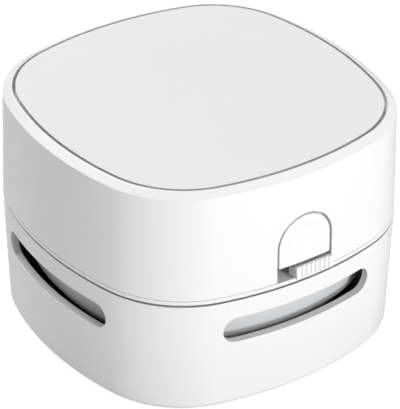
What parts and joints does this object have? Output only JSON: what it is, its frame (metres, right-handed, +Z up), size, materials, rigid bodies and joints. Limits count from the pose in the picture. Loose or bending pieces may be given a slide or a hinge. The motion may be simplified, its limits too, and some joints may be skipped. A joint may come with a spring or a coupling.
{
  "type": "desktop mini vacuum cleaner",
  "caption": "Rounded-square desktop vacuum: dust box with exhaust slots under a lift-off head with fan, motor, battery bay, ribbed slide switch and flush top cover.",
  "frame": {"origin": "on the table, under the middle of the body", "axes": "+Z up, -Y towards the face with the slide switch, +X to the right when that face is looked at"},
  "size_m": [0.085, 0.0863, 0.0586],
  "materials": {
    "shell_white": "gloss white ABS",
    "panel_grey": "satin light grey ABS",
    "bowl_grey": "gloss grey ABS",
    "cradle_white": "as moulded",
    "black_plastic": "as moulded",
    "filter_foam": "open cell foam",
    "foot_rubber": "matte",
    "bristle_nylon": "drawn nylon",
    "screw_steel": "zinc plated",
    "motor_steel": "drawn steel",
    "bush_bronze": "sintered bronze",
    "contact_nickel": "nickel plated",
    "cell_jacket": "plain satin jacket"
  },
  "bodies": {
    "dust_box": {"lower_housing": "shell_white", "base_plate": "shell_white", "foot_1": "foot_rubber", "foot_2": "foot_rubber", "foot_3": "foot_rubber", "foot_4": "foot_rubber", "brush_front": "bristle_nylon", "brush_rear": "bristle_nylon", "base_screw_1": "screw_steel", "base_screw_2": "screw_steel", "base_screw_3": "screw_steel", "base_screw_4": "screw_steel", "filter_frame": "black_plastic", "filter_foam": "filter_foam"},
    "head": {"chassis_plate": "shell_white", "upper_housing": "shell_white", "switch_bezel": "shell_white", "switch_body": "black_plastic", "fan_bowl": "bowl_grey", "housing_screw_1": "screw_steel", "housing_screw_2": "screw_steel", "housing_screw_3": "screw_steel", "housing_screw_4": "screw_steel", "motor_screw_1": "screw_steel", "motor_screw_2": "screw_steel", "motor_can": "motor_steel", "motor_cap": "black_plastic", "shaft_bush": "bush_bronze", "motor_terminal_1": "contact_nickel", "motor_terminal_2": "contact_nickel", "battery_cradle": "cradle_white", "battery_cell_1": "cell_jacket", "battery_cell_2": "cell_jacket", "contact_plus_1": "contact_nickel", "contact_plus_2": "contact_nickel", "contact_minus_1": "contact_nickel", "contact_minus_2": "contact_nickel", "contact_spring_1": "contact_nickel", "contact_spring_2": "contact_nickel"},
    "switch_slider": {"slide_knob": "shell_white", "switch_lever": "black_plastic"},
    "fan": {"motor_shaft": "motor_steel", "impeller": "black_plastic"},
    "battery_cover": {"top_panel": "panel_grey"}
  },
  "joints": [
    {"name": "head_lift", "type": "slide", "parent": "dust_box", "child": "head", "axis": [0, 0, 1], "range_m": [0, 0.03]},
    {"name": "switch_slide", "type": "slide", "parent": "head", "child": "switch_slider", "axis": [-1, 0, 0], "range_m": [0, 0.0038]},
    {"name": "fan_spin", "type": "hinge", "parent": "head", "child": "fan", "pos_m": [0, 0, 0.03], "axis": [0, 0, 1], "continuous": true},
    {"name": "cover_lift", "type": "slide", "parent": "head", "child": "battery_cover", "axis": [0, 0, 1], "range_m": [0, 0.02]}
  ]
}
